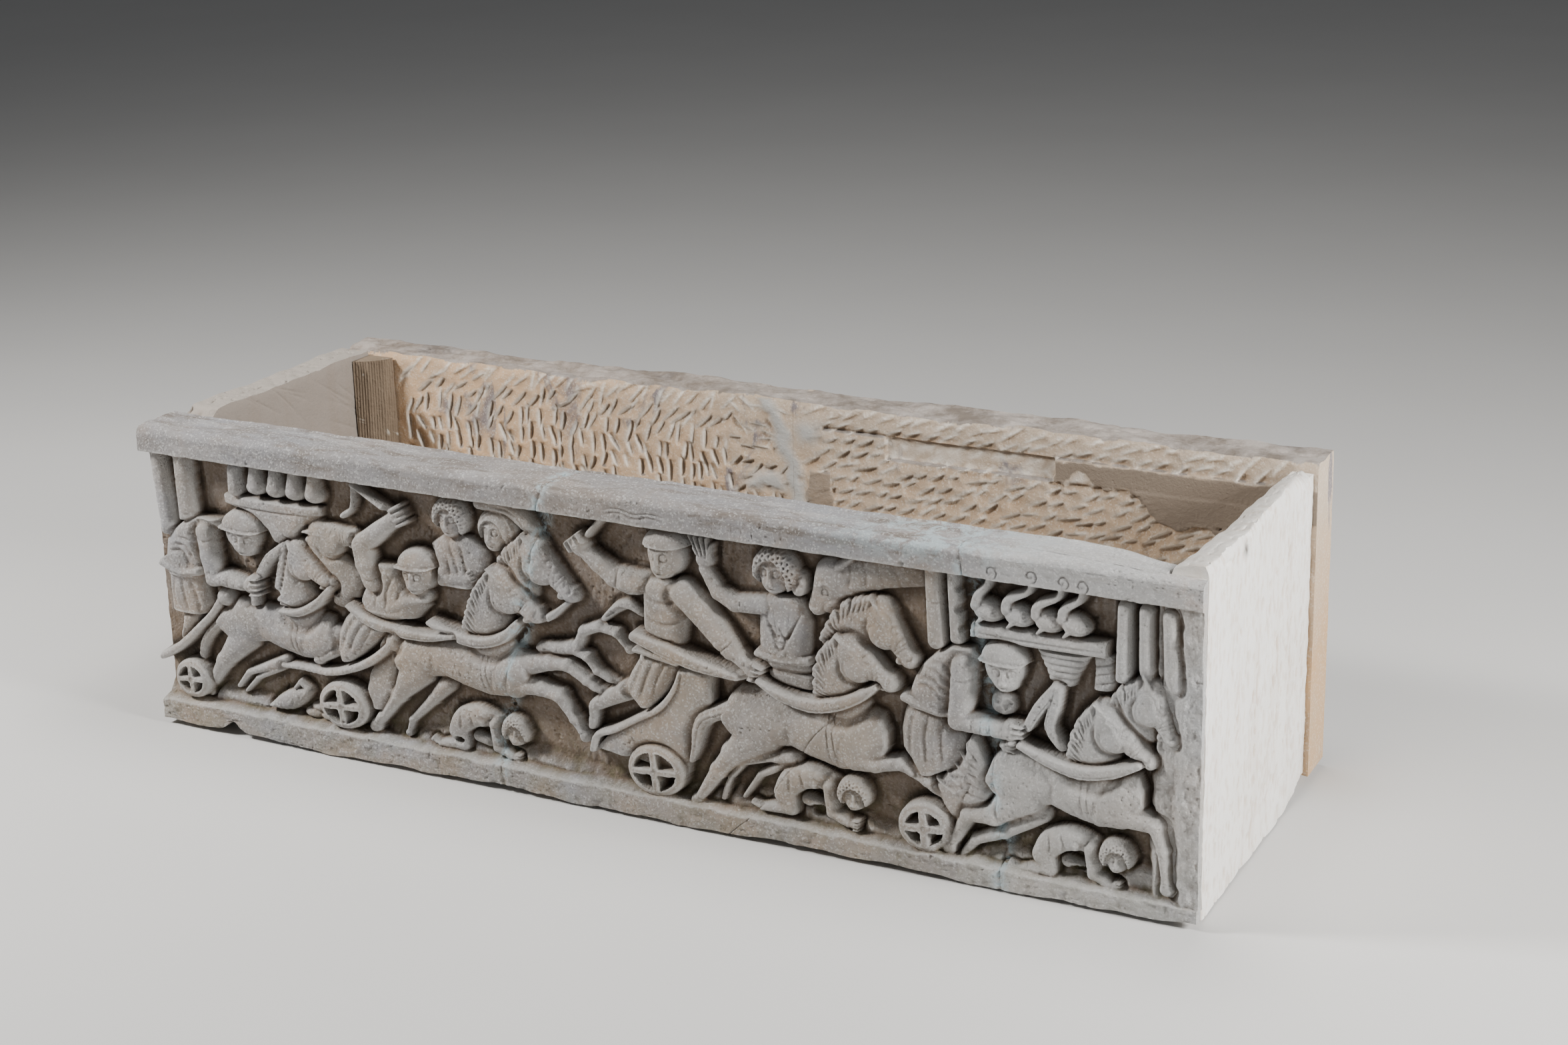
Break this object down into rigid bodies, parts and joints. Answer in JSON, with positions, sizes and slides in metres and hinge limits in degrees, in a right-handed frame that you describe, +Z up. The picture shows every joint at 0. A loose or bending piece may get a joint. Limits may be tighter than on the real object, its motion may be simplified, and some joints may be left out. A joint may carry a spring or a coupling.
{
  "type": "sarcophagus chest",
  "caption": "Open stone sarcophagus chest of joined slabs, its long front carved in deep relief with a chariot race, horses, drivers, fallen riders and turning posts",
  "frame": {"origin": "bottom centre of the chest's box", "axes": "+X along the length to the right of the carved front, -Y out of the carved front, +Z up"},
  "size_m": [2.125, 0.7451, 0.611],
  "materials": {
    "carved_marble": "weathered grey-white marble with brown dirt in the hollows and moss along the base",
    "chiselled_marble": "cream marble with rows of point-chisel strokes and grey veins",
    "picked_marble": "whitish pick-dressed marble",
    "beige_mortar": "combed beige-brown mortar"
  },
  "bodies": {
    "root": {"front_fragment_left": "carved_marble", "front_fragment_middle": "carved_marble", "front_fragment_right": "carved_marble", "back_fragment_left": "chiselled_marble", "back_fragment_right": "chiselled_marble", "floor_slab": "chiselled_marble", "left_end": "picked_marble", "right_end": "picked_marble", "mortar_front_right": "beige_mortar", "mortar_back_right": "beige_mortar", "mortar_back_left": "beige_mortar"}
  },
  "joints": []
}
